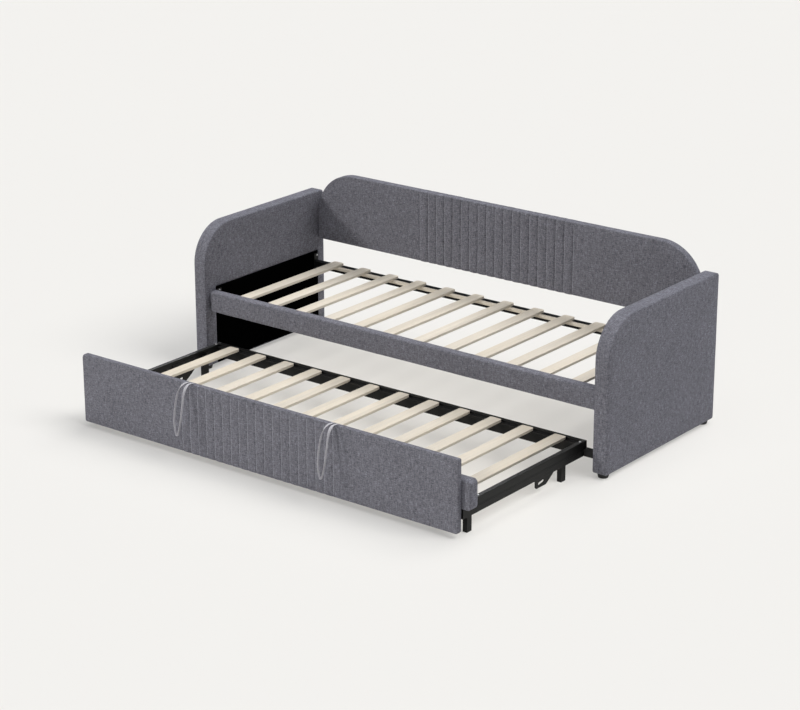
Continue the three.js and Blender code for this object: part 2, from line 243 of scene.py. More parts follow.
def webbing(name, base):
    """Narrow woven tape: ribs across it, two selvedges. The cloth attribute holds across and along, in metres."""
    t = Tree(name)
    x, y, _ = t.split(t.attribute("cloth").outputs["Vector"])
    rib = t.math("ABSOLUTE", t.math("SINE", t.math("MULTIPLY", y, math.pi / 0.00115)))
    cord = t.math("ABSOLUTE", t.math("SINE", t.math("MULTIPLY", x, math.pi / 0.0016)))
    height = t.math("MULTIPLY", rib, t.math("MULTIPLY_ADD", cord, 0.5, 0.5))
    tone = t.noise(t.join(t.math("MULTIPLY", x, 900.0), t.math("MULTIPLY", y, 120.0), 2.0), detail=2.0)
    fleck = t.noise(t.join(x, y, 9.0), scale=420.0, detail=2.0)
    k = t.math("MULTIPLY_ADD", t.math("SUBTRACT", fleck, 0.5), 0.7, tone)
    colour = t.ramp(k, [(0.15, scaled(base, 0.55)), (0.5, base), (0.9, scaled(base, 1.5))])
    # painted shade: the tape's colour is darkened in the hollows between its ribs and cords
    shade = t.remap(height, 0.0, 0.6, 0.7, 1.0)
    colour = t.mix(1.0, colour, t.join(shade, shade, shade), "MULTIPLY")
    return t.set(Base_Color=colour, Roughness=t.remap(k, 0.0, 1.0, 0.95, 0.8), Specular_IOR_Level=0.2,
                 Sheen_Weight=0.15, Sheen_Roughness=0.45,
                 Normal=t.bump(height, 0.6, 0.0004))


def powder_coat(name, base, rough=0.46):
    """Satin powder coat: fine orange peel, scuffs that are a little rougher and greyer, dust in the corners of the noise."""
    t = Tree(name)
    p = t.coords("Object")
    peel = t.noise(p, scale=620.0, detail=3.0, rough=0.6)
    patch = t.noise(p, scale=7.0, detail=4.0, rough=0.6)
    x, y, z = t.split(p)
    scuff = t.noise(t.join(t.math("MULTIPLY", x, 260.0), t.math("MULTIPLY", y, 14.0), t.math("MULTIPLY", z, 260.0)), detail=3.0, rough=0.7)
    worn = t.remap(t.math("MULTIPLY", scuff, t.math("MULTIPLY_ADD", patch, 0.9, 0.35)), 0.44, 0.62, 0.0, 1.0, True)
    colour = t.mix(worn, base, scaled(base, 2.0))
    colour = t.mix(t.remap(patch, 0.35, 0.75, 0.0, 0.35), colour, scaled(base, 1.5))
    r = t.math("MULTIPLY_ADD", peel, 0.10, rough - 0.05)
    r = t.math("MULTIPLY_ADD", worn, 0.16, r)
    return t.set(Base_Color=colour, Roughness=r, Specular_IOR_Level=0.20, Metallic=0.0,
                 Normal=t.bump(peel, 0.22, 0.0003))


def moulded_plastic(name, base):
    t = Tree(name)
    p = t.coords("Object")
    spark = t.noise(p, scale=1500.0, detail=2.0)
    patch = t.noise(p, scale=40.0, detail=3.0)
    colour = t.mix(t.remap(patch, 0.3, 0.8, 0.0, 0.5), base, scaled(base, 1.7))
    return t.set(Base_Color=colour, Roughness=t.math("MULTIPLY_ADD", patch, 0.2, 0.5), Specular_IOR_Level=0.4,
                 Normal=t.bump(spark, 0.3, 0.0002))


def zinc(name):
    t = Tree(name)
    p = t.coords("Object")
    flake = t.voronoi(p, 900.0).outputs["Color"]
    f, _, _ = t.split(flake)
    dull = t.noise(p, scale=300.0, detail=3.0)
    colour = t.mix(f, (0.46, 0.465, 0.47), (0.68, 0.685, 0.69))
    return t.set(Base_Color=colour, Metallic=0.9, Roughness=t.math("MULTIPLY_ADD", dull, 0.25, 0.25),
                 Normal=t.bump(dull, 0.15, 0.0002))


def planed_wood(name, base, along="Y"):
    """Pale planed poplar: long soft grain, thin pores, a broad tone per board, a few small knots. Grain runs along one axis."""
    t = Tree(name)
    x, y, z = t.split(t.coords("Object"))
    if along == "X":
        x, y = y, x
    # the boards stand apart across the grain, so each is cut from its own part of the pattern
    board = t.math("FLOOR", t.math("MULTIPLY", x, 12.5)) if along == "Y" else t.math("FLOOR", t.math("MULTIPLY", y, 0.9))
    own = t.math("FRACT", t.math("MULTIPLY", t.math("SINE", t.math("MULTIPLY_ADD", board, 12.9898, 4.1)), 437.585))
    lane = t.math("MULTIPLY_ADD", own, 3.7, x)
    warp_n = t.noise(t.join(t.math("MULTIPLY", lane, 9.0), t.math("MULTIPLY", y, 2.2), t.math("MULTIPLY", z, 9.0)), detail=2.0)
    bend = t.math("MULTIPLY_ADD", t.math("SUBTRACT", warp_n, 0.5), 0.035, lane)
    rings = t.noise(t.join(t.math("MULTIPLY", bend, 190.0), t.math("MULTIPLY", y, 3.0), t.math("MULTIPLY", z, 120.0)), detail=3.0, rough=0.55)
    fibre = t.noise(t.join(t.math("MULTIPLY", bend, 1300.0), t.math("MULTIPLY", y, 38.0), t.math("MULTIPLY", z, 1300.0)), detail=2.0)
    pores = t.remap(t.noise(t.join(t.math("MULTIPLY", bend, 1900.0), t.math("MULTIPLY", y, 90.0), t.math("MULTIPLY", z, 1900.0)), detail=0.0), 0.66, 0.78, 0.0, 1.0)
    knot = t.voronoi(t.join(t.math("MULTIPLY", lane, 8.0), t.math("MULTIPLY", y, 2.3), own), 1.0)
    ring_k = t.remap(knot.outputs["Distance"], 0.0, 0.085, 1.0, 0.0, True)
    warm = t.noise(t.join(t.math("MULTIPLY", lane, 14.0), t.math("MULTIPLY", y, 1.6), 5.0), detail=2.0)
    colour = t.ramp(rings, [(0.22, scaled(base, 0.86)), (0.5, base), (0.8, scaled(base, 1.07))])
    colour = t.mix(t.remap(warm, 0.35, 0.75, 0.0, 0.4), colour, (base[0] * 0.99, base[1] * 0.94, base[2] * 0.83))
    colour = t.mix(t.remap(fibre, 0.35, 0.85, 0.0, 0.22), colour, scaled(base, 0.80))
    colour = t.mix(t.math("MULTIPLY", pores, 0.30), colour, scaled(base, 0.55))
    colour = t.mix(t.math("MULTIPLY", ring_k, 0.38), colour, (base[0] * 0.62, base[1] * 0.50, base[2] * 0.36))
    tone = t.math("MULTIPLY_ADD", own, 0.10, 0.94)
    colour = t.mix(1.0, colour, t.join(tone, tone, tone), "MULTIPLY")
    height = t.math("MULTIPLY_ADD", pores, -0.8, t.math("MULTIPLY_ADD", fibre, 0.6, rings))
    return t.set(Base_Color=colour, Roughness=t.remap(fibre, 0.2, 0.8, 0.55, 0.72), Specular_IOR_Level=0.3,
                 Normal=t.bump(height, 0.28, 0.0004))


def thread(name, base):
    t = Tree(name)
    x, y, _ = t.split(t.attribute("cloth").outputs["Vector"])
    ply = t.math("ABSOLUTE", t.math("SINE", t.math("MULTIPLY", t.math("ADD", x, y), 5200.0)))
    tone = t.noise(t.coords("Object"), scale=500.0, detail=2.0)
    # painted shading of the twist: the colour darkens in the grooves between the plies and lightens on their crests,
    # mixed with a random tone
    colour = t.mix(t.math("MULTIPLY", ply, tone), scaled(base, 0.7), scaled(base, 1.3))
    return t.set(Base_Color=colour, Roughness=t.math("MULTIPLY_ADD", tone, 0.2, 0.6), Specular_IOR_Level=0.3,
                 Normal=t.bump(ply, 0.3, 0.0002))


FABRIC = (0.169, 0.168, 0.193)
m_fabric = melange("upholstery", FABRIC)
m_felt = felt("lining")
m_webbing = webbing("webbing", (0.54, 0.53, 0.56))
m_steel = powder_coat("black_steel", (0.0050, 0.0050, 0.0048))
m_plastic = moulded_plastic("black_plastic", (0.010, 0.010, 0.010))
m_zinc = zinc("zinc")
m_slat = planed_wood("slat_wood", (0.702, 0.640, 0.541))
m_cleat = planed_wood("cleat_wood", (0.660, 0.598, 0.500), along="X")
# pale stitching thread; its light colour also stands for the highlight that the ribs' shoulders catch beside each
# crease (painted highlight)
m_thread_and_highlight = thread("thread", (0.60, 0.60, 0.65))


# ---------------------------------------------------------------- mesh helpers
def new_mesh(name, points, faces, body, mats, cloth=None, face_mat=None, smooth=True):
    me = bpy.data.meshes.new(name)
    me.from_pydata([(p[0], p[1], p[2] + ZS) for p in points], [], [tuple(f) for f in faces])
    me.update()
    ob = bpy.data.objects.new(name, me)
    bpy.context.scene.collection.objects.link(ob)
    for m in mats if isinstance(mats, (list, tuple)) else [mats]:
        me.materials.append(m)
    if face_mat is not None:
        me.polygons.foreach_set("material_index", np.asarray(face_mat, np.int32))
    me.polygons.foreach_set("use_smooth", np.full(len(me.polygons), smooth))
    if cloth is not None:
        a = me.attributes.new("cloth", "FLOAT_VECTOR", "CORNER" if len(cloth) == len(me.loops) else "POINT")
        a.data.foreach_set("vector", np.asarray(cloth, np.float32).ravel())
    if body:
        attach(ob, body)
    return ob


def smoothstep(x, a, b):
    t = np.clip((x - a) / (b - a), 0, 1)
    return t * t * (3 - 2 * t)


def value_noise(p, seed):
    """Smooth 2-D noise in about -1..1 on points p (n,2), from a hashed lattice; the same on every run."""
    i = np.floor(p).astype(np.int64)
    f = p - i
    f = f * f * f * (f * (f * 6 - 15) + 10)

    def h(a, b):
        n = (a * 374761393 + b * 668265263 + seed * 974634777) & 0x7FFFFFFF
        n = ((n ^ (n >> 13)) * 1274126177) & 0x7FFFFFFF
        return ((n ^ (n >> 16)) & 0xFFFF) / 32767.5 - 1

    a, b = i[:, 0], i[:, 1]
    x0 = h(a, b) * (1 - f[:, 0]) + h(a + 1, b) * f[:, 0]
    x1 = h(a, b + 1) * (1 - f[:, 0]) + h(a + 1, b + 1) * f[:, 0]
    return x0 * (1 - f[:, 1]) + x1 * f[:, 1]


def drop(a, a0, a1, rl, rr, d):
    """How far a rounded outline, moved in by d, falls from its straight edge at a."""
    out = np.zeros_like(a)
    l, r = rl - d, rr - d
    m = a < a0 + rl
    out[m] = l - np.sqrt(np.maximum(l * l - (a0 + rl - a[m]) ** 2, 0))
    m = a > a1 - rr
    out[m] = r - np.sqrt(np.maximum(r * r - (a - (a1 - rr))[m] ** 2, 0))
    return out


def spaced(lo, hi, step, marks=(), near=()):
    """Grid values from lo to hi about step apart, with close values (near) on both sides of each mark."""
    keep = [lo, hi]
    for m in marks:
        keep += [m + n for n in near if lo < m + n < hi]
    keep = np.array(sorted(keep))
    keep = keep[np.concatenate([[True], np.diff(keep) > 1e-5])]
    out = [keep[0]]
    for p, q in zip(keep[:-1], keep[1:]):
        n = max(1, int(round((q - p) / step)))
        out += [p + (q - p) * (i + 1) / n for i in range(n)]
    return np.array(out)


def slab_points(box, radii, roll, columns, rows_mid, top_steps, low_steps):
    """The inset face grid: (na, nb, 2) points, moved in by roll from the outline."""
    a0, a1, b0, b1 = box
    bl, br, tr, tl = radii
    top = b1 - roll - drop(columns, a0, a1, tl, tr, roll)
    low = b0 + roll + drop(columns, a0, a1, bl, br, roll)
    cols = []
    for a, lo, hi in zip(columns, low, top):
        b = np.concatenate([
            lo + (rows_mid[0] - lo) * low_steps[:-1],
            rows_mid,
            rows_mid[-1] + (hi - rows_mid[-1]) * top_steps[1:],
        ])
        cols.append(np.stack([np.full_like(b, a), b], 1))
    return np.stack(cols)


class Slab:
    """A padded board: a rounded outline in the plane (A, B), front face towards C, edges rolled by `roll`.
    relief(a, b, theta, edge, side) gives how far the cover stands out along its normal."""

    def __init__(self, name, A, B, C, box, front, rear, radii, roll, columns, rows=None,
                 step=0.007, top_n=None, low_n=None, relief=None, ring=7, origin=(0, 0)):
        A, B, C = (np.array(v, float) for v in (A, B, C))
        a0, a1, b0, b1 = box
        bl, br, tr, tl = radii
        b_lo = b0 + max(bl, br) + 0.001
        b_hi = b1 - max(tl, tr) - 0.001
        if b_hi - b_lo < 0.004:
            mid = (b_lo + b_hi) / 2
            b_lo, b_hi = mid - 0.002, mid + 0.002
        rows_mid = spaced(b_lo, b_hi, step) if rows is None else rows
        top_n = top_n or max(3, int(round((b1 - roll - b_hi) / step)))
        low_n = low_n or max(2, int(round((b_lo - b0 - roll) / step)))
        e = np.linspace(0, 1, top_n + 1)
        top_steps = e if top_n < 6 else 1 - (1 - e) ** 1.25
        low_steps = np.linspace(0, 1, low_n + 1)
        # columns: the arcs of both corners at each end, then the given ones
        arc = []
        for r, sgn, end in ((bl, 1, a0), (tl, 1, a0), (br, -1, a1), (tr, -1, a1)):
            n = max(4, int(round((r - roll) * math.pi / 2 / step)) + 2)
            for i in range(n + 1):
                arc.append(end + sgn * (r - (r - roll) * math.cos(math.pi / 2 * i / n)))
        lo_c, hi_c = a0 + max(bl, tl), a1 - max(br, tr)
        body = [c for c in columns if lo_c + 0.3 * step < c < hi_c - 0.3 * step]
        cols = np.array(sorted(arc + body))
        cols = cols[np.concatenate([[True], np.diff(cols) > 2e-4])]
        cols[0], cols[-1] = a0 + roll, a1 - roll
        G = slab_points(box, radii, roll, cols, rows_mid, top_steps, low_steps)
        na, nb = G.shape[:2]
        self.na, self.nb = na, nb
        flat = G.reshape(-1, 2)
        idx = np.arange(na * nb).reshape(na, nb)
        # the border, once round: low row, right column, top row, left column
        loop = np.concatenate([idx[:, 0], idx[-1, 1:], idx[-2::-1, -1], idx[0, -2:0:-1]])
        P = flat[loop]
        nrm = np.zeros_like(P)
        for r, cx, cy, mask in (
            (bl, a0 + bl, b0 + bl, (P[:, 0] < a0 + bl) & (P[:, 1] < b0 + bl)),
            (br, a1 - br, b0 + br, (P[:, 0] > a1 - br) & (P[:, 1] < b0 + br)),
            (tr, a1 - tr, b1 - tr, (P[:, 0] > a1 - tr) & (P[:, 1] > b1 - tr)),
            (tl, a0 + tl, b1 - tl, (P[:, 0] < a0 + tl) & (P[:, 1] > b1 - tl)),
        ):
            d = P[mask] - np.array([cx, cy])
            nrm[mask] = d / np.maximum(np.linalg.norm(d, axis=1, keepdims=True), 1e-9)
        free = np.linalg.norm(nrm, axis=1) < 0.5
        tol = 1e-5
        side = np.zeros_like(P)
        side[np.abs(P[:, 1] - (b0 + roll)) < tol] = (0, -1)
        side[np.abs(P[:, 1] - (b1 - roll)) < tol] = (0, 1)
        side[np.abs(P[:, 0] - (a0 + roll)) < tol] = (-1, 0)
        side[np.abs(P[:, 0] - (a1 - roll)) < tol] = (1, 0)
        nrm[free] = side[free]
        thick = front - rear
        band = max(1, int(round((thick - 2 * roll) / step)))
        stations = [(math.pi / 2 * k / ring, roll * (1 - math.cos(math.pi / 2 * k / ring))) for k in range(1, ring + 1)]
        stations += [(math.pi / 2, roll + (thick - 2 * roll) * k / band) for k in range(1, band + 1)]
        stations += [(math.pi / 2 * (1 + k / ring), thick - roll + roll * math.sin(math.pi / 2 * k / ring)) for k in range(1, ring)]
        pts, normals, ab, theta, uv, sides = [], [], [], [], [], []

        def add(p2, level, n3, th, cloth, sd):
            k = len(p2)
            pts.append(np.outer(p2[:, 0], A) + np.outer(p2[:, 1], B) + np.outer(np.full(k, level), C) if np.isscalar(level) else
                       np.outer(p2[:, 0], A) + np.outer(p2[:, 1], B) + np.outer(level, C))
            normals.append(n3)
            ab.append(p2)
            theta.append(np.full(k, th))
            uv.append(cloth)
            sides.append(np.full(k, sd))

        add(flat, front, np.tile(C, (na * nb, 1)), 0.0, flat, 1)
        arc_len = 0.0
        last = (0.0, 0.0)
        n3d = np.outer(nrm[:, 0], A) + np.outer(nrm[:, 1], B)
        for th, depth in stations:
            o = roll * math.sin(th)
            arc_len += math.hypot(depth - last[1], o - last[0])
            last = (o, depth)
            add(P + nrm * o, front - depth, n3d * math.sin(th) + C * math.cos(th), th, P + nrm * arc_len, 0)
        add(flat, rear, np.tile(-C, (na * nb, 1)), math.pi, flat * np.array([-1.0, 1.0]) + np.array([9.0, 3.0]), -1)
        V = np.concatenate(pts)
        N = np.concatenate(normals)
        AB = np.concatenate(ab)
        TH = np.concatenate(theta)
        SD = np.concatenate(sides)
        UV = np.concatenate(uv) + np.array(origin)
        if relief is not None:
            edge = np.minimum.reduce([AB[:, 0] - a0, a1 - AB[:, 0], AB[:, 1] - b0, b1 - AB[:, 1]])
            for r, cx, cy, mask in (
                (tr, a1 - tr, b1 - tr, (AB[:, 0] > a1 - tr) & (AB[:, 1] > b1 - tr)),
                (tl, a0 + tl, b1 - tl, (AB[:, 0] < a0 + tl) & (AB[:, 1] > b1 - tl)),
            ):
                edge[mask] = r - np.hypot(AB[mask, 0] - cx, AB[mask, 1] - cy)
            V = V + N * relief(AB[:, 0], AB[:, 1], TH, np.maximum(edge, 0), SD)[:, None]
        # faces
        L, R = len(loop), len(stations)
        faces, mats, corner = [], [], []
        i0, i1, i2, i3 = idx[:-1, :-1].ravel(), idx[1:, :-1].ravel(), idx[1:, 1:].ravel(), idx[:-1, 1:].ravel()
        front_q = np.stack([i0, i1, i2, i3], 1)
        rear_off = na * nb + R * L
        rear_q = np.stack([i0, i3, i2, i1], 1) + rear_off
        rings_i = [loop] + [na * nb + k * L + np.arange(L) for k in range(R)] + [rear_off + loop]
        rim = []
        for p, q in zip(rings_i[:-1], rings_i[1:]):
            rim.append(np.stack([p, q, np.roll(q, -1), np.roll(p, -1)], 1))
        rim = np.concatenate(rim)
        F = np.concatenate([front_q, rim, rear_q])
        uv3 = np.concatenate([UV, np.zeros((len(UV), 1))], 1)
        # the last rim ring meets the rear face's border: carry the rim's own cloth there
        corner = uv3[F]
        tail = slice(len(front_q) + (R) * L, len(front_q) + (R + 1) * L)
        rim_end = P + nrm * (arc_len + math.hypot(thick - last[1], last[0])) + np.array(origin)
        tailc = corner[tail].copy()
        tailc[:, 1, :2] = rim_end
        tailc[:, 2, :2] = np.roll(rim_end, -1, axis=0)
        corner[tail] = tailc
        if np.dot(np.cross(A, B), C) < 0:
            F = F[:, ::-1]
            corner = corner[:, ::-1]
        self.V, self.F, self.cloth = V, F, corner.reshape(-1, 3)
        self.name = name
        self.frame = (A, B, C, front, relief)

    def build(self, body, mat=None):
        return new_mesh(self.name, self.V, self.F, body, mat or m_fabric, cloth=self.cloth)


# ---------------------------------------------------------------- padding, by cloth simulation
def inflate(width, height, held, cell=0.016, cap=0.004, pressure=4.0, label="pad", slack=0.0):
    """A cover stretched over foam. Its front sheet is free, its back and edges are held, and pressure lifts it.
    held(a, b) says which points stay down. Returns a function (a, b) -> lift, from 0 to about cap, in metres.
    a and b run from 0 to width and height."""
    na, nb = int(round(width / cell)) + 1, int(round(height / cell)) + 1
    ga, gb = np.linspace(0, width, na), np.linspace(0, height, nb)
    A, B = np.meshgrid(ga, gb, indexing="ij")
    stay = held(A.ravel(), B.ravel())
    rim = np.zeros((na, nb), bool)
    rim[0], rim[-1], rim[:, 0], rim[:, -1] = True, True, True, True
    stay = stay | rim.ravel()
    if SIM:
        n = na * nb
        pts = np.concatenate([np.stack([A.ravel(), B.ravel(), np.zeros(n)], 1), np.stack([A.ravel(), B.ravel(), np.full(n, -0.03)], 1)])
        idx = np.arange(n).reshape(na, nb)
        f = np.stack([idx[:-1, :-1].ravel(), idx[1:, :-1].ravel(), idx[1:, 1:].ravel(), idx[:-1, 1:].ravel()], 1)
        loop = np.concatenate([idx[:, 0], idx[-1, 1:], idx[-2::-1, -1], idx[0, -2:0:-1]])
        wall = np.stack([loop, loop + n, np.roll(loop, -1) + n, np.roll(loop, -1)], 1)
        faces = np.concatenate([f, f[:, ::-1] + n, wall])
        me = bpy.data.meshes.new(label + "_sim")
        me.from_pydata(pts.tolist(), [], faces.tolist())
        ob = bpy.data.objects.new(label + "_sim", me)
        bpy.context.scene.collection.objects.link(ob)
        g = ob.vertex_groups.new(name="held")
        g.add([int(i) for i in np.nonzero(stay)[0]] + list(range(n, 2 * n)), 1.0, "REPLACE")
        md = ob.modifiers.new("cloth", "CLOTH")
        c = md.settings
        c.quality = 5
        c.mass = 0.25
        c.tension_stiffness = c.compression_stiffness = 12
        c.shear_stiffness = 6
        c.bending_stiffness = 0.6
        c.tension_damping = c.compression_damping = c.shear_damping = 12
        c.air_damping = 3
        c.use_pressure = True
        c.uniform_pressure_force = pressure
        c.vertex_group_mass = "held"
        c.effector_weights.gravity = 0
        c.shrink_min = -slack
        md.collision_settings.use_collision = False
        md.point_cache.frame_start, md.point_cache.frame_end = 1, 20
        scene = bpy.context.scene
        for k in range(1, 21):
            scene.frame_set(k)
        dg = bpy.context.evaluated_depsgraph_get()
        ev = ob.evaluated_get(dg).to_mesh()
        co = np.empty(len(ev.vertices) * 3)
        ev.vertices.foreach_get("co", co)
        lift = co.reshape(-1, 3)[:n, 2].reshape(na, nb)
        ob.evaluated_get(dg).to_mesh_clear()
        scene.frame_set(1)
        bpy.data.objects.remove(ob)
        top = np.percentile(np.abs(lift), 98)
        print(f"{label}: cloth lifted {lift.max() * 1000:.2f} mm at most, 98% {top * 1000:.2f}")
        lift = np.maximum(lift, 0)
        lift = cap * np.tanh(lift / cap)
    else:
        free = (~stay).reshape(na, nb).astype(float)
        lift = np.zeros((na, nb))
        for _ in range(60):
            p = np.pad(lift, 1)
            lift = ((p[:-2, 1:-1] + p[2:, 1:-1] + p[1:-1, :-2] + p[1:-1, 2:]) / 4 + 0.06) * free
        lift = cap * np.tanh(lift / max(lift.max(), 1e-9) * 1.2)

    def at(a, b):
        x = np.clip(a / width * (na - 1), 0, na - 1.0001)
        y = np.clip(b / height * (nb - 1), 0, nb - 1.0001)
        i, j = x.astype(int), y.astype(int)
        fx, fy = x - i, y - j

        def w(t):
            return (
                ((-t + 2) * t - 1) * t / 2,
                ((3 * t - 5) * t * t + 2) / 2,
                ((-3 * t + 4) * t + 1) * t / 2,
                ((t - 1) * t * t) / 2,
            )

        wx, wy = w(fx), w(fy)
        out = np.zeros_like(x)
        for p in range(4):
            ip = np.clip(i + p - 1, 0, na - 1)
            for q in range(4):
                jq = np.clip(j + q - 1, 0, nb - 1)
                out += wx[p] * wy[q] * lift[ip, jq]
        return out

    return at


def undulate(a, b, seed, size=0.11, amount=0.00035):
    p = np.stack([a, b], 1)
    return amount * (value_noise(p / size, seed) + 0.5 * value_noise(p / (size * 0.43), seed + 7) + 0.22 * value_noise(p / (size * 0.19), seed + 13))


def outside_round(a, b, w, h, r_left, r_right, margin):
    """True beyond a slab's outline moved in by margin; a and b start at its low left corner, and the top corners are round."""
    out = (a < margin) | (a > w - margin) | (b < margin) | (b > h - margin)
    m = (a < r_left) & (b > h - r_left)
    out |= m & (np.hypot(a - r_left, b - (h - r_left)) > r_left - margin)
    m = (a > w - r_right) & (b > h - r_right)
    out |= m & (np.hypot(a - (w - r_right), b - (h - r_right)) > r_right - margin)
    return out


# ---------------------------------------------------------------- arms
ARM_Y = (0.0 + S, 0.799 + S)
ARM_Z = (0.0173, 0.642)
ARM_IN, ARM_OUT = 1.005, 1.0685
LINER = (0.065 + S, 0.756 + S, 0.0, 0.368)
arm_w, arm_h = ARM_Y[1] - ARM_Y[0], ARM_Z[1] - ARM_Z[0]
outer_pad = inflate(arm_w, arm_h, lambda a, b: outside_round(a, b, arm_w, arm_h, 0.168, 0.010, 0.012), cap=0.0030, label="arm_outer", cell=0.02)


def inner_held(a, b):
    low = (b + ARM_Z[0] < LINER[3] + 0.016) & (a + ARM_Y[0] > LINER[0] - 0.016)
    back = a + ARM_Y[0] > 0.748 + S
    front = (a + ARM_Y[0] > 0.010 + S) & (a + ARM_Y[0] < 0.075 + S) & (b + ARM_Z[0] < 0.372)
    return outside_round(a, b, arm_w, arm_h, 0.168, 0.010, 0.014) | low | back | front


inner_pad = inflate(arm_w, arm_h, inner_held, cap=0.0022, label="arm_inner", cell=0.02)
PROUD = 0.0018


def arm_relief(seed):
    def relief(a, b, th, edge, side):
        out = np.zeros_like(a)
        f = side == 1
        fade = smoothstep(edge, 0.005, 0.024)
        out[f] = (outer_pad(a[f] - ARM_Y[0], b[f] - ARM_Z[0]) + undulate(a[f], b[f], seed)) * fade[f] + PROUD
        r = side == -1
        lift = inner_pad(a[r] - ARM_Y[0], b[r] - ARM_Z[0]) * fade[r]
        # pressed in under the lining, and where it meets the back panel and the rail
        into = smoothstep(np.minimum.reduce([a[r] - LINER[0], LINER[1] - a[r], LINER[3] - b[r]]), -0.0045, 0.0)
        out[r] = lift * (1 - into) - 0.0031 * into
        rim = side == 0
        # the cover gathers a little where it is pulled round the large corner
        ang = np.arctan2(b[rim] - (ARM_Z[1] - 0.168), -(a[rim] - (ARM_Y[0] + 0.168)))
        on = smoothstep(ang, 0.06, 0.25) * (1 - smoothstep(ang, 1.30, 1.52))
        gather = 0.00022 * np.sin(ang * 46 + 1.3 * np.sin(ang * 11)) * on * np.sin(th[rim]) ** 2
        # foam stands a little proud of the board all round, and less where the sides turn inwards
        out[rim] = gather + undulate(a[rim] + th[rim] * 0.02, b[rim], seed + 3, 0.07, 0.00018) + PROUD * (1 - smoothstep(th[rim], 1.6, 2.9))
        return out

    return relief


def arm(sign, name, seed):
    cols = spaced(ARM_Y[0] + 0.0055, ARM_Y[1] - 0.0055, 0.0085, (LINER[0], LINER[1]), (-0.0045, -0.0025, 0.0, 0.002))
    rows = spaced(ARM_Z[0] + 0.013, ARM_Z[1] - 0.169, 0.0085, (LINER[3],), (-0.002, 0.0, 0.0025, 0.0045))
    ob = Slab(name, (0, 1, 0), (0, 0, 1), (sign, 0, 0), (*ARM_Y, *ARM_Z), ARM_OUT, ARM_IN, (0.0095, 0.0095, 0.010, 0.168), 0.0055,
              cols, rows=rows, step=0.0085, relief=arm_relief(seed), ring=6, origin=(0.3 * sign, 0.1)).build("daybed")
    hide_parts("arm_right" if sign > 0 else "arm_left")
    return ob


arm_r = arm(1, "arm_right_padding", 11)
arm_l = arm(-1, "arm_left_padding", 23)


# ---------------------------------------------------------------- channel-stitched panels
def channels(lines, puff, depth, width=0.0024):
    """Cross-section over the stitched field: soft ribs between the lines, a narrow crease on each."""
    lines = np.array(lines)

    def at(x):
        d = np.abs(x[:, None] - lines[None, :])
        near = d.min(1)
        crease = np.exp(-((near / width) ** 2)) * 0.72 + np.exp(-((near / (width * 2.6)) ** 2)) * 0.28
        inside = (x > lines[0]) & (x < lines[-1])
        k = np.clip(np.searchsorted(lines, x) - 1, 0, len(lines) - 2)
        t = np.clip((x - lines[k]) / (lines[k + 1] - lines[k]), 0, 1)
        rib = np.where(inside, 1 - np.abs(2 * t - 1) ** 2.6, 0)
        return puff * rib - depth * crease

    return at


BACK_LINES = list(np.linspace(-0.4235, 0.3855, 19))
BACK_BOX = (-1.0046, 1.0046, 0.4235, 0.7425)
BACK_Y = (0.760 + S, 0.799 + S)
bw, bh = BACK_BOX[1] - BACK_BOX[0], BACK_BOX[3] - BACK_BOX[2]


def back_held(a, b):
    x = a + BACK_BOX[0]
    on_line = np.min(np.abs(x[:, None] - np.array(BACK_LINES)[None, :]), axis=1) < 0.0062
    # the ends press against the arms up to their tops
    ends = ((a < 0.020) | (a > bw - 0.020)) & (b + BACK_BOX[2] < 0.65)
    return outside_round(a, b, bw, bh, 0.20, 0.20, 0.012) | on_line | ends


back_pad = inflate(bw, bh, back_held, cap=0.0042, label="back_panel", cell=0.0112)
back_ribs = channels(BACK_LINES, 0.0026, 0.0026)


def back_relief(a, b, th, edge, side):
    out = np.zeros_like(a)
    f = side == 1
    ends = np.minimum(a - BACK_BOX[0], BACK_BOX[1] - a)
    fade = smoothstep(edge, 0.010, 0.034)
    out[f] = back_pad(a[f] - BACK_BOX[0], b[f] - BACK_BOX[2]) * fade[f] + undulate(a[f], b[f], 41, 0.12, 0.0004) * fade[f]
    # ribs and creases run over the top and bottom edges, and die out behind
    w = 1 - 0.8 * smoothstep(th, 0.5, 1.3) - 0.2 * smoothstep(th, 1.6, 2.6)
    w[side == -1] = 0
    wav = 1 + 0.25 * value_noise(np.stack([a / 0.021, b / 0.013], 1), 5)
    out += back_ribs(a) * w * wav * np.where(ends < 0.02, 0, 1)
    rim = side == 0
    out[rim] += undulate(a[rim], b[rim] + th[rim] * 0.02, 47, 0.06, 0.0002) * np.where(ends[rim] < 0.012, 0.0, 1.0)
    return out


def field_columns(lo, hi, lines, step):
    near = (-0.0105, -0.0062, -0.004, -0.0025, -0.0014, -0.0006, 0.0, 0.0006, 0.0014, 0.0025, 0.004, 0.0062, 0.0105)
    return spaced(lo, hi, step, lines, near)


back = Slab("back_panel_padding", (1, 0, 0), (0, 0, 1), (0, -1, 0), BACK_BOX, -BACK_Y[0], -BACK_Y[1], (0.008, 0.008, 0.20, 0.20), 0.006,
            field_columns(BACK_BOX[0] + 0.006, BACK_BOX[1] - 0.006, BACK_LINES, 0.009), step=0.0075, top_n=25, relief=back_relief, ring=7,
            origin=(0.0, 0.7)).build("daybed")
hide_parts("back_panel")

PANEL_LINES = list(np.linspace(-0.4078, 0.3648, 19))
PANEL_BOX = (-0.9542, 0.9542, 0.0173, 0.313)
PANEL_Y = (-0.806 + S, -0.783 + S)
pw, ph = PANEL_BOX[1] - PANEL_BOX[0], PANEL_BOX[3] - PANEL_BOX[2]


def panel_held(a, b):
    x = a + PANEL_BOX[0]
    on_line = np.min(np.abs(x[:, None] - np.array(PANEL_LINES)[None, :]), axis=1) < 0.0062
    return outside_round(a, b, pw, ph, 0.02, 0.02, 0.013) | on_line


panel_pad = inflate(pw, ph, panel_held, cap=0.0038, label="trundle_panel", cell=0.0107)
panel_ribs = channels(PANEL_LINES, 0.0014, 0.0015)


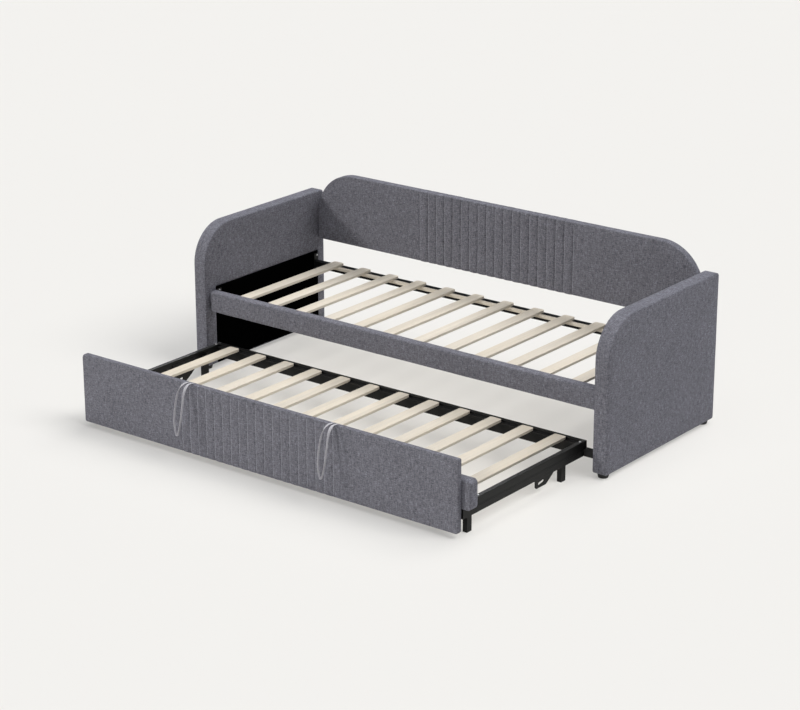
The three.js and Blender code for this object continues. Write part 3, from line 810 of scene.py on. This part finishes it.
def panel_relief(a, b, th, edge, side):
    out = np.zeros_like(a)
    f = side == 1
    fade = smoothstep(edge, 0.008, 0.030)
    out[f] = panel_pad(a[f] - PANEL_BOX[0], b[f] - PANEL_BOX[2]) * fade[f] + undulate(a[f], b[f], 61, 0.11, 0.0004) * fade[f]
    w = 1 - 0.8 * smoothstep(th, 0.5, 1.3) - 0.2 * smoothstep(th, 1.5, 2.2)
    w[side == -1] = 0
    wav = 1 + 0.25 * value_noise(np.stack([a / 0.021, b / 0.013], 1), 8)
    out += panel_ribs(a) * w * wav
    rim = side == 0
    out[rim] += undulate(a[rim], b[rim] + th[rim] * 0.02, 67, 0.06, 0.0002)
    return out


panel = Slab("trundle_front_panel_padding", (1, 0, 0), (0, 0, 1), (0, -1, 0), PANEL_BOX, -PANEL_Y[0], -PANEL_Y[1], (0.008, 0.014, 0.008, 0.020), 0.0052,
             field_columns(PANEL_BOX[0] + 0.0052, PANEL_BOX[1] - 0.0052, PANEL_LINES, 0.009), step=0.0075, relief=panel_relief, ring=6,
             origin=(0.4, -0.6)).build("trundle")
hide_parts("trundle_front_panel")

# ---------------------------------------------------------------- front rail of the daybed, and the padded rail of the trundle
RAIL_BOX = (-1.0046, 1.0046, 0.265, 0.3555)
RAIL_Y = (0.021 + S, 0.064 + S)
rw, rh = RAIL_BOX[1] - RAIL_BOX[0], RAIL_BOX[3] - RAIL_BOX[2]
rail_pad = inflate(rw, rh, lambda a, b: outside_round(a, b, rw, rh, 0.012, 0.012, 0.009), cap=0.0024, label="front_rail", cell=0.011)


def rail_relief(a, b, th, edge, side):
    out = np.zeros_like(a)
    f = side == 1
    fade = smoothstep(edge, 0.008, 0.022)
    out[f] = rail_pad(a[f] - RAIL_BOX[0], b[f] - RAIL_BOX[2]) * fade[f]
    ends = smoothstep(np.minimum(a - RAIL_BOX[0], RAIL_BOX[1] - a), 0.010, 0.05)
    out += undulate(a, b + th * 0.02, 71, 0.09, 0.0003) * ends * (side >= 0)
    return out


rail = Slab("front_rail_padding", (1, 0, 0), (0, 0, 1), (0, -1, 0), RAIL_BOX, -RAIL_Y[0], -RAIL_Y[1], (0.011, 0.011, 0.011, 0.011), 0.0085,
            spaced(RAIL_BOX[0] + 0.009, RAIL_BOX[1] - 0.009, 0.008), step=0.0065, relief=rail_relief, ring=6, origin=(0.2, 1.4)).build("daybed")
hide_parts("front_rail")

PAD_BOX = (-0.966, 0.992, 0.110, 0.228)
PAD_Y = (-0.7827 + S, -0.733 + S)
dw, dh = PAD_BOX[1] - PAD_BOX[0], PAD_BOX[3] - PAD_BOX[2]
pad_pad = inflate(dw, dh, lambda a, b: outside_round(a, b, dw, dh, 0.016, 0.016, 0.012), cap=0.0020, label="padded_rail", cell=0.0115)


def pad_relief(a, b, th, edge, side):
    out = np.zeros_like(a)
    r = side == -1
    fade = smoothstep(edge, 0.009, 0.024)
    # it shows behind the panel, above the frame's top; below that it rests on the steel
    free = smoothstep(b[r], 0.137, 0.150)
    out[r] = pad_pad(a[r] - PAD_BOX[0], b[r] - PAD_BOX[2]) * fade[r] * free
    out += (undulate(a, b + th * 0.02, 83, 0.08, 0.0003) + 0.0004 * np.sin(np.minimum(th, math.pi)) * (b > 0.13)) * (side == 0)
    return out


pad = Slab("trundle_padded_rail_padding", (1, 0, 0), (0, 0, 1), (0, -1, 0), PAD_BOX, -PAD_Y[0], -PAD_Y[1], (0.016, 0.016, 0.016, 0.016), 0.0075,
           spaced(PAD_BOX[0] + 0.0075, PAD_BOX[1] - 0.0075, 0.009), step=0.0075, relief=pad_relief, ring=6, origin=(0.9, 1.9)).build("trundle")
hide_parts("trundle_padded_rail")


# ---------------------------------------------------------------- stitches
def stitches(name, lines, z0, z1, y_of, out_dir, body, pitch=0.0050, length=0.0042, r=0.00062, beside=0.0017):
    """Lock stitches set just beside each crease, on the rib's shoulder: short, slightly bowed threads. Their pale
    colour is partly painted highlight, standing for the light that the shoulder catches.
    """
    pts, faces, cloth = [], [], []
    for li, x in enumerate(lines):
        n = int((z1 - z0) / pitch)
        for k in range(n):
            zc = z0 + (k + 0.5) * pitch
            xo = x + beside + 0.00012 * math.sin(k * 1.7 + li)
            base = len(pts)
            for s in range(4):
                t = s / 3
                z = zc + (t - 0.5) * length
                bow = 0.00045 * math.sin(math.pi * t) - 0.0002
                rad = r * (0.65 + 0.5 * math.sin(math.pi * t))
                y = y_of(xo, z) + out_dir * bow
                for q in range(5):
                    a = 2 * math.pi * q / 5
                    pts.append((xo + rad * math.cos(a), y + rad * math.sin(a), z))
                    cloth.append((rad * a, z, 0))
            for s in range(3):
                for q in range(5):
                    a, b = base + 5 * s + q, base + 5 * s + (q + 1) % 5
                    faces.append((a, b, b + 5, a + 5))
            faces.append(tuple(base + q for q in range(4, -1, -1)))
            faces.append(tuple(base + 15 + q for q in range(5)))
    return new_mesh(name, pts, faces, body, m_thread_and_highlight, cloth=cloth)


def face_y(relief, front_y):
    def at(x, z):
        v = relief(np.array([x]), np.array([z]), np.array([0.0]), np.array([0.03]), np.array([1]))[0]
        return front_y - v

    return at


stitches("back_panel_stitching", BACK_LINES, BACK_BOX[2] + 0.012, BACK_BOX[3] - 0.012, face_y(back_relief, BACK_Y[0]), -1, "daybed")
stitches("trundle_panel_stitching", PANEL_LINES, PANEL_BOX[2] + 0.010, PANEL_BOX[3] - 0.010, face_y(panel_relief, PANEL_Y[0]), -1, "trundle")


# ---------------------------------------------------------------- pull loops
LOOP_PROFILE = [(-808.6, 316.6), (-822, 317.2), (-836, 312.5), (-849, 301.5), (-858.5, 283), (-865, 262),
                (-872, 231), (-878, 199), (-882, 172), (-884, 150.5), (-885.3, 132), (-885.6, 119)]
LOOP_SPREAD = [10, 10.5, 12, 14, 15.8, 17, 18, 17.6, 15.6, 12, 7.2, 2.6]


def catmull(points, n):
    """Centripetal curve through the points, sampled at even lengths; returns points and tangents."""
    p = np.array(points, float)
    p = np.vstack([2 * p[0] - p[1], p, 2 * p[-1] - p[-2]])
    dense = []
    for i in range(1, len(p) - 2):
        t = [0.0]
        for k in range(3):
            t.append(t[-1] + np.linalg.norm(p[i + k] - p[i + k - 1]) ** 0.5)
        for s in np.linspace(t[1], t[2], 40, endpoint=i == len(p) - 3):
            a1 = (t[1] - s) / (t[1] - t[0]) * p[i - 1] + (s - t[0]) / (t[1] - t[0]) * p[i]
            a2 = (t[2] - s) / (t[2] - t[1]) * p[i] + (s - t[1]) / (t[2] - t[1]) * p[i + 1]
            a3 = (t[3] - s) / (t[3] - t[2]) * p[i + 1] + (s - t[2]) / (t[3] - t[2]) * p[i + 2]
            b1 = (t[2] - s) / (t[2] - t[0]) * a1 + (s - t[0]) / (t[2] - t[0]) * a2
            b2 = (t[3] - s) / (t[3] - t[1]) * a2 + (s - t[1]) / (t[3] - t[1]) * a3
            dense.append((t[2] - s) / (t[2] - t[1]) * b1 + (s - t[1]) / (t[2] - t[1]) * b2)
    dense = np.array(dense)
    d = np.concatenate([[0], np.cumsum(np.linalg.norm(np.diff(dense, axis=0), axis=1))])
    u = np.linspace(0, d[-1], n)
    q = np.stack([np.interp(u, d, dense[:, k]) for k in range(dense.shape[1])], 1)
    tan = np.gradient(q, axis=0)
    return q, tan / np.linalg.norm(tan, axis=1, keepdims=True), u


def pull_loop(cx, side, seed):
    """Flat tape: sewn down on the panel's top, over its edge, down one strand, round the tip and up the other."""
    n = 84
    prof = [(s, y, z) for (y, z), s in zip(LOOP_PROFILE, LOOP_SPREAD)]
    q, tan, u = catmull(prof, n)
    total = u[-1]
    st = []
    for left in (True, False):
        order = range(n) if left else range(n - 1, -1, -1)
        for k in order:
            s = u[k] / total
            lo, hi = q[max(0, k - 1)], q[min(n - 1, k + 1)]
            down = np.array([0, hi[1] - lo[1], hi[2] - lo[2]])
            down /= np.linalg.norm(down)
            out = np.array([0, down[2], -down[1]])
            if out[1] > 0:
                out = -out
            sx = -1 if left else 1
            turn = float(smoothstep(np.array([s]), 0.02, 0.34)[0])
            w = np.array([1.0, 0, 0]) * (1 - turn) + out * (-sx * turn)
            w /= np.linalg.norm(w)
            run = np.array([sx * tan[k][0], tan[k][1], tan[k][2]]) * (1 if left else -1)
            run /= np.linalg.norm(run)
            tip = max(0.0, 1 - (1 - s) / 0.012)
            travel = run * (1 - 0.8 * tip) + np.array([0.8, 0, 0]) * tip
            travel /= np.linalg.norm(travel)
            thick = np.cross(travel, w)
            thick /= np.linalg.norm(thick)
            wide = np.cross(thick, travel)
            wide /= np.linalg.norm(wide)
            c = np.array([cx * 1000 + sx * q[k][0], q[k][1], q[k][2]])
            st.append([c, wide, thick])
    # the sewn ends: back over the panel's top edge, flat on the cover
    y0, z0 = LOOP_PROFILE[0]
    ends = []
    for t in (6, 5, 4, 3, 2, 1):
        y = y0 + 2.9 * t
        z = z0 - 0.42 * t - (0.6 if t > 4 else 0)
        ends.append((y, z))
    head = [[np.array([cx * 1000 - LOOP_SPREAD[0], y, z]), None, None] for y, z in ends]
    tail = [[np.array([cx * 1000 + LOOP_SPREAD[0], y, z]), None, None] for y, z in ends[::-1]]
    for h in head:
        h[1], h[2] = st[0][1].copy(), st[0][2].copy()
    st = head + st + tail
    for h in st[-len(tail):]:
        h[1], h[2] = st[-len(tail) - 1][1].copy(), st[-len(tail) - 1][2].copy()
    for a, b in zip(st[:-1], st[1:]):
        if np.dot(a[1], b[1]) < 0:
            b[1], b[2] = -b[1], -b[2]
    # a woven tape's section: flat, with rounder selvedges
    W, T = 10.0, 1.9
    section = []
    for i in range(9):
        x = -W / 2 + W * i / 8
        section.append((x, T / 2 * (1.0 if 0 < i < 8 else 0.55)))
    section += [(x, -y) for x, y in section[::-1]]
    m = len(section)
    pts, cloth, faces = [], [], []
    along = 0.0
    last = None
    for k, (c, wide, thick) in enumerate(st):
        if last is not None:
            along += np.linalg.norm(c - last) / 1000
        last = c
        wob = 0.25 * math.sin(k * 0.37 + seed)
        for i, (x, y) in enumerate(section):
            cup = 0.10 * (abs(x) / 5) ** 2 * 2
            p = c + wide * x + thick * (y + wob * 0.3 + cup * 0.3)
            pts.append((p[0] / 1000, p[1] / 1000 + S, p[2] / 1000))
            cloth.append((x / 1000, along, 0))
    for k in range(len(st) - 1):
        for i in range(m):
            a, b = k * m + i, k * m + (i + 1) % m
            faces.append((a, b, b + m, a + m))
    faces.append(tuple(range(m - 1, -1, -1)))
    faces.append(tuple((len(st) - 1) * m + i for i in range(m)))
    ob = new_mesh(f"pull_loop_{side}_webbing", pts, faces, None, m_webbing, cloth=cloth)
    me = ob.data
    import bmesh

    bm = bmesh.new()
    bm.from_mesh(me)
    bmesh.ops.recalc_face_normals(bm, faces=bm.faces)
    bm.to_mesh(me)
    bm.free()
    x = cx
    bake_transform(ob)
    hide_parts(f"pull_loop_{side}")
    return ob


pull_loop(-0.361, "left", 0.4)
pull_loop(0.372, "right", 2.1)


# ---------------------------------------------------------------- carried-over CAD pieces: soft edges and materials
def soften(node, mat, width, segments=2, angle=38):
    ob = nodes[node]
    me = ob.data
    if me.attributes.get("custom_normal"):
        me.attributes.remove(me.attributes["custom_normal"])
    if me.attributes.get("sharp_edge"):
        me.attributes.remove(me.attributes["sharp_edge"])
    if me.attributes.get("sharp_face"):
        me.attributes.remove(me.attributes["sharp_face"])
    w = ob.modifiers.new("weld", "WELD")
    w.merge_threshold = 0.00002
    b = ob.modifiers.new("edge", "BEVEL")
    b.width = width
    b.segments = segments
    b.limit_method = "ANGLE"
    b.angle_limit = math.radians(angle)
    b.use_clamp_overlap = True
    b.harden_normals = False
    n = ob.modifiers.new("normals", "WEIGHTED_NORMAL")
    n.weight = 80
    me.materials.clear()
    me.materials.append(mat)


for name in nodes:
    if nodes[name].hide_render:
        continue
    if name.startswith(("deck_slat", "trundle_slat")):
        soften(name, m_slat, 0.0011, 3)
    elif name.startswith("slat_cleat"):
        soften(name, m_cleat, 0.0010, 2)
    elif name.startswith("arm_liner"):
        soften(name, m_felt, 0.0008, 2)
    elif name.startswith(("glide_foot", "guide_block")):
        soften(name, m_plastic, 0.0012, 3, 30)
    elif name.startswith(("trundle_leg", "trundle_side_rail", "trundle_front_cross", "trundle_rear_cross", "rear_rail")) and "bracket" not in name:
        soften(name, m_steel, 0.0009, 2)
    else:
        soften(name, m_steel, 0.0005, 2)


# ---------------------------------------------------------------- bolts and beads
def turned(name, profile, centre, axis, body, mat, segments=28, hexed=False):
    """A small turned head: profile is (radius, height) from the rim to the middle, turned round the axis; a dip in the
    profile gives a round recess.
    """
    ax = Vector(axis).normalized()
    side = ax.orthogonal().normalized()
    third = ax.cross(side)
    pts, faces = [], []
    for r, h in profile:
        for k in range(segments):
            a = 2 * math.pi * k / segments
            p = Vector(centre) + side * (r * math.cos(a)) + third * (r * math.sin(a)) + ax * h
            pts.append(tuple(p))
    rings = len(profile)
    for i in range(rings - 1):
        for k in range(segments):
            a, b = i * segments + k, i * segments + (k + 1) % segments
            faces.append((a, b, b + segments, a + segments))
    pts.append(tuple(Vector(centre) + ax * profile[-1][1]))
    c = len(pts) - 1
    for k in range(segments):
        faces.append(((rings - 1) * segments + k, (rings - 1) * segments + (k + 1) % segments, c))
    pts.append(tuple(Vector(centre) + ax * profile[0][1]))
    c = len(pts) - 1
    for k in range(segments):
        faces.append(((k + 1) % segments, k, c))
    return new_mesh(name, pts, faces, body, mat)


PAN = [(0.0050, 0.0), (0.0050, 0.0008), (0.0047, 0.0016), (0.0038, 0.0024), (0.0027, 0.0028), (0.0022, 0.0028), (0.0021, 0.0012), (0.0010, 0.0011)]
for sign, side in ((1, "right"), (-1, "left")):
    lx = sign * 1.0050  # inner face of the bracket plates is 3.1 mm inside the arms' inner faces
    for i, z in enumerate((0.347, 0.295)):
        turned(f"bolt_rear_{side}_{i + 1}", PAN, (sign * (1.005 - 0.0031), 0.746 + S, z), (-sign, 0, 0), "daybed", m_zinc)
        turned(f"bolt_front_{side}_{i + 1}", PAN, (sign * (1.005 - 0.0031), 0.0834 + S, z), (-sign, 0, 0), "daybed", m_zinc)
    for i, y in enumerate((-0.005, -0.677)):
        turned(f"bolt_frame_{side}_{i + 1}", PAN, (sign * 0.9495, y + S, 0.1325), (0, 0, 1), "trundle", m_zinc)


def bead(name, x, z, y0, y1, sign, body):
    """Rolled bead along a side rail: a low half-round strip."""
    n = 7
    pts, faces = [], []
    for y in (y0, y0 + 0.003, y1 - 0.003, y1):
        k = 0.35 if y in (y0, y1) else 1.0
        for i in range(n):
            a = math.pi * i / (n - 1)
            pts.append((x + sign * (0.0007 * math.sin(a) * k), y, z - 0.0016 * math.cos(a)))
        pts.append((x - sign * 0.0004, y, z + 0.0016))
        pts.append((x - sign * 0.0004, y, z - 0.0016))
    m = n + 2
    for k in range(3):
        for i in range(m):
            a, b = k * m + i, k * m + (i + 1) % m
            f = (a, b, b + m, a + m)
            faces.append(f if sign > 0 else f[::-1])
    e0, e1 = tuple(range(m - 1, -1, -1)), tuple(3 * m + i for i in range(m))
    faces += [e0, e1] if sign > 0 else [e0[::-1], e1[::-1]]
    return new_mesh(name, pts, faces, body, m_steel)


for sign, side in ((1, "right"), (-1, "left")):
    for i, z in enumerate((0.1010, 0.0955)):
        bead(f"side_rail_bead_{side}_{i + 1}", sign * 0.960, z, -0.7320 + S, 0.0055 + S, sign, "trundle")


# ---------------------------------------------------------------- camera, floor, light
def camera():
    az, el, roll = (math.radians(v) for v in (37.97656, 19.37861, -0.127865))
    back_v = Vector((math.sin(az) * math.cos(el), -math.cos(az) * math.cos(el), math.sin(el)))
    fwd = -back_v
    right = fwd.cross(Vector((0, 0, 1))).normalized()
    up = right.cross(fwd)
    r2 = right * math.cos(roll) + up * math.sin(roll)
    u2 = -right * math.sin(roll) + up * math.cos(roll)
    data = bpy.data.cameras.new("camera")
    data.sensor_width = 36
    data.lens = 107.55
    data.clip_start, data.clip_end = 0.1, 200
    ob = bpy.data.objects.new("camera", data)
    m = Matrix((r2, u2, back_v)).transposed().to_4x4()
    m.translation = Vector((5.7156, -7.2000, 3.5313 + ZS))
    ob.matrix_world = m
    bpy.context.scene.collection.objects.link(ob)
    bpy.context.scene.camera = ob


camera()

t = Tree("studio_floor")
grain = t.noise(t.coords("Object"), scale=3.0, detail=2.0)
t.set(Base_Color=t.mix(grain, (0.815, 0.797, 0.756), (0.817, 0.799, 0.758)), Roughness=1.0, Specular_IOR_Level=0.0)
fl = bpy.data.meshes.new("floor")
h = 60.0
fl.from_pydata([(-h, -h, -0.0002), (h, -h, -0.0002), (h, h, -0.0002), (-h, h, -0.0002)], [], [(0, 1, 2, 3)])
floor = bpy.data.objects.new("floor", fl)
fl.materials.append(t.mat)
bpy.context.scene.collection.objects.link(floor)

world = bpy.data.worlds.new("studio")
bpy.context.scene.world = world
world.use_nodes = True
bg = world.node_tree.nodes["Background"]
bg.inputs[0].default_value = (0.84, 0.94, 1.20, 1.0)
bg.inputs[1].default_value = 0.07


def sun(name, to_light, strength, angle, colour=(1, 1, 1), shadow=True, only=None):
    data = bpy.data.lights.new(name, "SUN")
    data.energy = strength
    data.angle = math.radians(angle)
    data.color = colour
    data.use_shadow = shadow
    ob = bpy.data.objects.new(name, data)
    ob.rotation_mode = "QUATERNION"
    ob.rotation_quaternion = Vector(to_light).to_track_quat("Z", "Y")
    bpy.context.scene.collection.objects.link(ob)
    if only is not None:
        ob.light_linking.receiver_collection = only
    return ob


bed_only = bpy.data.collections.new("bed_only")
for ob in bpy.context.scene.objects:
    if ob.type == "MESH" and ob is not floor:
        bed_only.objects.link(ob)

floor_only = bpy.data.collections.new("floor_only")
floor_only.objects.link(floor)
rails_only = bpy.data.collections.new("rails_only")
for side in ("left", "right"):
    rails_only.objects.link(nodes[f"trundle_side_rail_{side}"])

sun("key", (0.42, 0.58, 1.0), 1.79, 36, (1.0, 0.998, 1.0), only=bed_only)
sun("key_floor", (0.85, 0.16, 1.0), 1.35, 36, (1.0, 0.998, 1.0), only=floor_only)
sun("back_floor", (0.10, 0.60, 1.0), 0.69, 40, (1.0, 1.0, 1.0), only=floor_only)
sun("front_left", (-0.70, -1.0, 0.55), 1.30, 9, (1.0, 0.985, 0.955), only=bed_only)
sun("front", (0.15, -1.0, 0.25), 0.27, 60, (1.0, 0.985, 0.960), shadow=False, only=bed_only)
sun("fill", (0.02, -0.16, 1.0), 1.70, 60, (0.99, 0.998, 1.015), shadow=False)
sun("rail_sheen", (-0.580, 0.744, 0.332), 0.38, 12, (1.0, 1.0, 1.0), shadow=False, only=rails_only)

bpy.context.scene.view_settings.view_transform = "Standard"
bpy.context.scene.view_settings.look = "None"
bpy.context.scene.view_settings.exposure = 0.0
